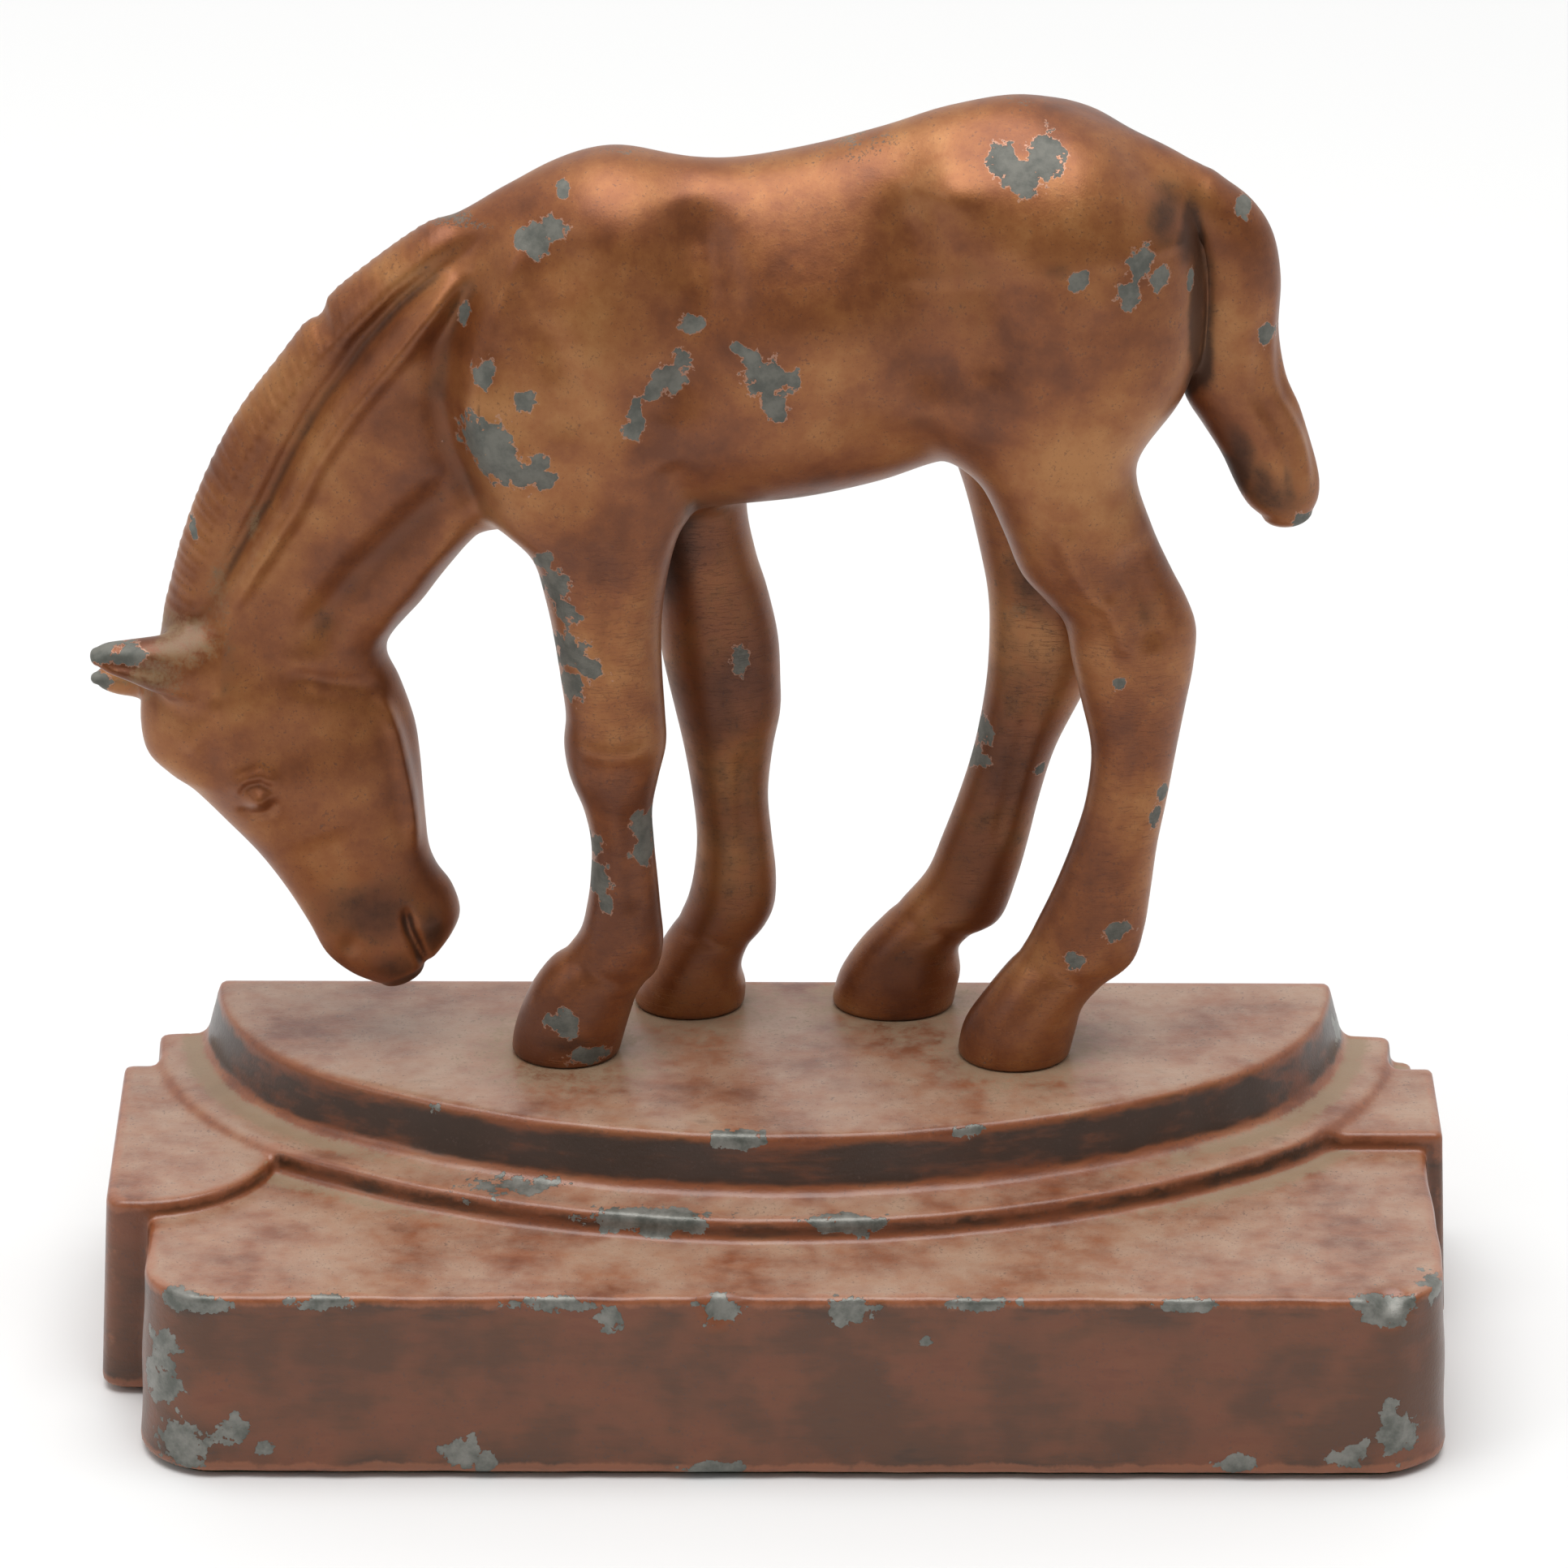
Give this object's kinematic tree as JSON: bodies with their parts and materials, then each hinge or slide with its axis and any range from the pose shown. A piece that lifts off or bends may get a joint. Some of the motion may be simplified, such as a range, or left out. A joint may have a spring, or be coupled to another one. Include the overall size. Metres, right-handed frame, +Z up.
{
  "type": "horse statuette",
  "caption": "Grazing foal figure, bronze finished, screwed to a stepped bow-fronted base with a felted underside.",
  "frame": {"origin": "on the underside of the felt pad, at the middle of the front slab's width and of the base's depth", "axes": "+X from the foal's head to its tail along the base, +Y from the base's front face to its flat back, +Z up"},
  "size_m": [0.1496, 0.0605, 0.1414],
  "materials": {
    "base_paint": "worn satin rust-brown paint over grey cast metal, dusty in the corners",
    "bronze_lacquer": "satin copper-bronze lacquer over grey cast metal, chipped and rubbed",
    "felt": "matt wool felt",
    "steel": "plain machine screws and washers"
  },
  "bodies": {
    "root": {"base_casting": "base_paint", "felt_pad": "felt", "figure_screws": "steel", "screw_washers": "steel", "torso": "bronze_lacquer", "neck": "bronze_lacquer", "head": "bronze_lacquer", "near_ear": "bronze_lacquer", "far_ear": "bronze_lacquer", "tail": "bronze_lacquer", "near_foreleg": "bronze_lacquer", "far_foreleg": "bronze_lacquer", "near_hind_leg": "bronze_lacquer", "far_hind_leg": "bronze_lacquer"}
  },
  "joints": []
}
